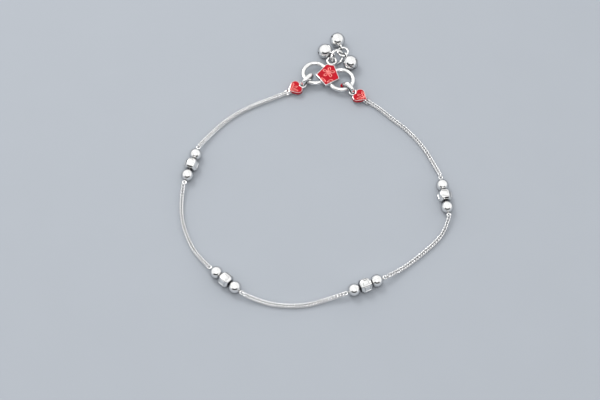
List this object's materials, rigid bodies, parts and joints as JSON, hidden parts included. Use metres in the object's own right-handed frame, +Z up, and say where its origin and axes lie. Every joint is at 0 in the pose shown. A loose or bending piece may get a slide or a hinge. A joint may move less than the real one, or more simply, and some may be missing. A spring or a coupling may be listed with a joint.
{
  "type": "payal anklet",
  "caption": "Fine-chain silver anklet, fastened, with groups of polished beads and a red-enamelled hook clasp with hearts and small bells; its loop goes round an ankle.",
  "frame": {"origin": "centre of the anklet's box, on the surface that it lies on", "axes": "+Z up, +Y from the front of the loop towards the clasp, +X to the right"},
  "size_m": [0.0865, 0.1011, 0.005],
  "materials": {
    "polished_silver": "bright polished silver",
    "chain_silver": "bright silver chain links",
    "red_enamel": "glossy red enamel",
    "steel_shot": "plain steel shot"
  },
  "bodies": {
    "root": {"chain_1": "chain_silver", "chain_2": "chain_silver", "chain_3": "chain_silver", "chain_4": "chain_silver", "chain_5": "chain_silver", "bead_pin_1": "polished_silver", "bead_pin_2": "polished_silver", "bead_pin_3": "polished_silver", "bead_pin_4": "polished_silver", "round_bead_1": "polished_silver", "round_bead_2": "polished_silver", "round_bead_3": "polished_silver", "round_bead_4": "polished_silver", "round_bead_5": "polished_silver", "round_bead_6": "polished_silver", "round_bead_7": "polished_silver", "round_bead_8": "polished_silver", "cut_bead_1": "polished_silver", "cut_bead_2": "polished_silver", "cut_bead_3": "polished_silver", "cut_bead_4": "polished_silver", "heart_frame_left": "polished_silver", "heart_enamel_left": "red_enamel", "heart_frame_right": "polished_silver", "heart_enamel_right": "red_enamel", "clasp_frame": "polished_silver", "clasp_enamel": "red_enamel", "clasp_loop": "polished_silver", "clasp_hook": "polished_silver", "link_ring": "polished_silver", "bell_ring": "polished_silver", "bell_1": "polished_silver", "bell_pellet_1": "steel_shot", "bell_2": "polished_silver", "bell_pellet_2": "steel_shot", "bell_3": "polished_silver", "bell_pellet_3": "steel_shot"}
  },
  "joints": []
}
